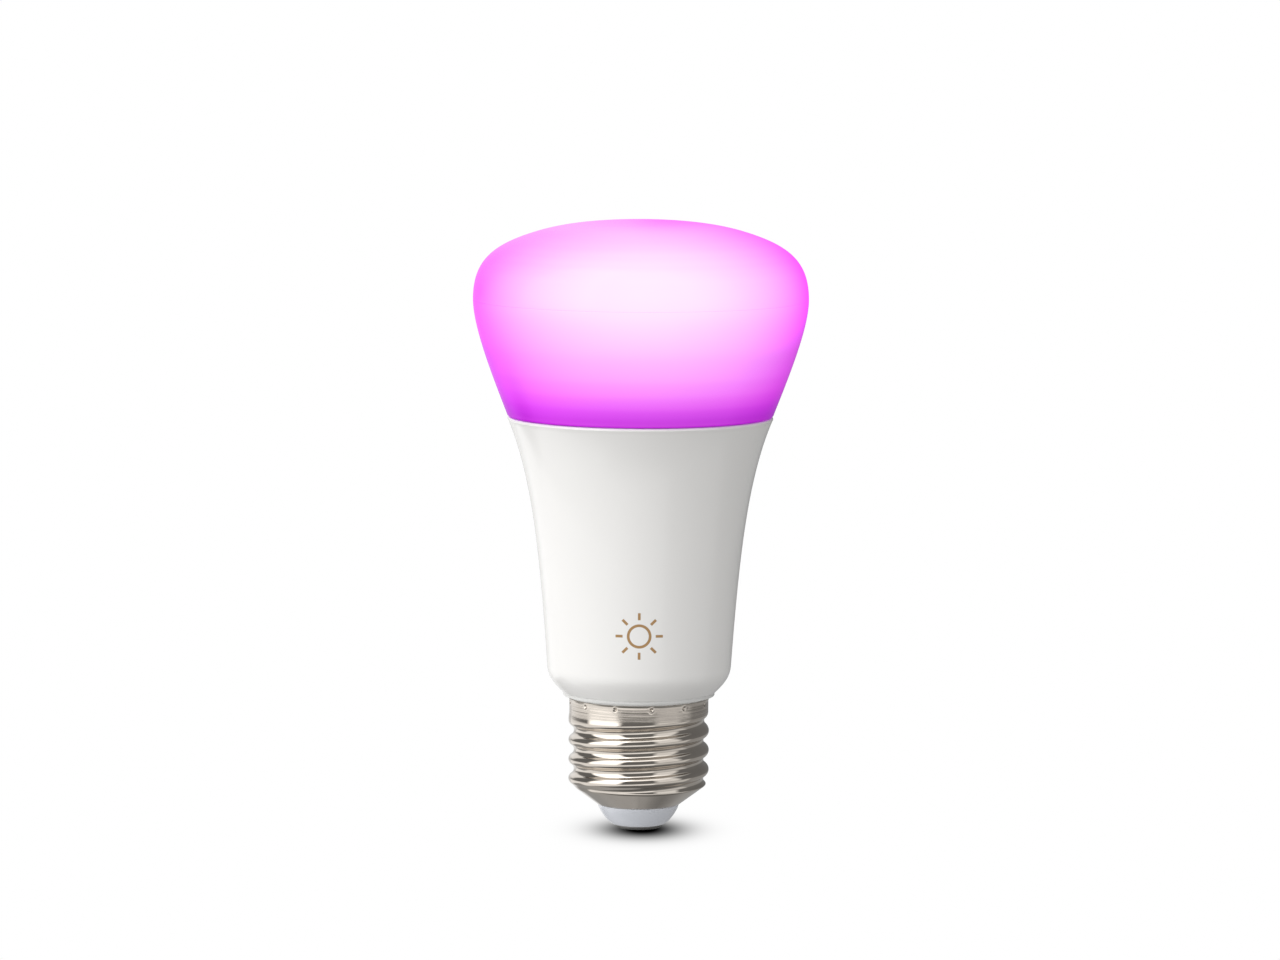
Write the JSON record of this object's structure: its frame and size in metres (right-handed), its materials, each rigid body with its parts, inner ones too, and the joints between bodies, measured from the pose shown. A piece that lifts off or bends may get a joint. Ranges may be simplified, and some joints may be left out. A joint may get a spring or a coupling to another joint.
{
  "type": "smart light bulb",
  "caption": "Screw-in LED bulb with a flared frosted diffuser, a glossy white trumpet-shaped housing, a threaded metal cap with a centre contact, and its driver and radio boards inside.",
  "frame": {"origin": "middle of the centre contact's flat face, at the very bottom of the bulb", "axes": "+Z along the bulb's axis, from the centre contact up to the dome; -Y is the front"},
  "size_m": [0.062, 0.062, 0.113],
  "materials": {
    "diffuser": "satin, frosted, lit magenta from inside",
    "silicone": "matt silicone",
    "white_gloss": "high gloss",
    "white_plastic": "semi-gloss moulded",
    "nickel": "nickel plate over brass, fine drawing marks",
    "insulator": "smooth, faintly blue white",
    "contact_metal": "plated, brushed",
    "aluminium": "pressed, satin",
    "thermal_pad": "matt",
    "white_solder_mask": "satin solder mask on aluminium",
    "led_warm_white": "phosphor under clear resin",
    "led_cool_white": "phosphor under clear resin",
    "led_red": "clear resin",
    "led_green": "clear resin",
    "led_blue": "clear resin",
    "screw_steel": "zinc plate",
    "ceramic_chip": "matt with tinned ends",
    "green_board": "satin solder mask on glass-fibre laminate",
    "tin_plate": "tinned, satin",
    "black_epoxy": "moulded epoxy",
    "copper": "thin plated copper",
    "gold_plate": "gold plate",
    "ferrite": "sintered, matt",
    "bobbin_plastic": "moulded",
    "enamelled_copper": "enamelled wire in layers",
    "capacitor_sleeve": "shrunk sleeve over an aluminium can",
    "film_case": "moulded case",
    "resistor_coat": "lacquer",
    "wire_black": "extruded insulation",
    "wire_white": "extruded insulation"
  },
  "bodies": {
    "root": {"diffuser_dome": "diffuser", "diffuser_skirt": "diffuser", "seal_ring": "silicone", "housing": "white_gloss", "driver_sleeve": "white_plastic", "screw_shell": "nickel", "cap_insulator": "insulator", "centre_contact": "contact_metal", "heat_spreader": "aluminium", "thermal_pad": "thermal_pad", "led_board": "white_solder_mask", "leds_warm_white": "led_warm_white", "leds_cool_white": "led_cool_white", "leds_red": "led_red", "leds_green": "led_green", "leds_blue": "led_blue", "led_board_screws": "screw_steel", "temperature_sensor": "ceramic_chip", "radio_board": "green_board", "radio_shield": "tin_plate", "radio_chip": "black_epoxy", "radio_crystal": "tin_plate", "antenna": "copper", "sleeve_cover": "white_plastic", "driver_board": "green_board", "pin_header": "black_epoxy", "board_pins": "gold_plate", "transformer_core": "ferrite", "transformer_bobbin": "bobbin_plastic", "transformer_winding": "enamelled_copper", "transformer_pins": "tin_plate", "input_capacitor": "capacitor_sleeve", "output_capacitors": "capacitor_sleeve", "film_capacitor": "film_case", "choke_core": "ferrite", "choke_winding": "enamelled_copper", "bridge_rectifier": "black_epoxy", "power_switch": "black_epoxy", "control_chip": "black_epoxy", "output_diode": "black_epoxy", "fuse_resistor": "resistor_coat", "line_wire": "wire_black", "neutral_wire": "wire_white"}
  },
  "joints": []
}
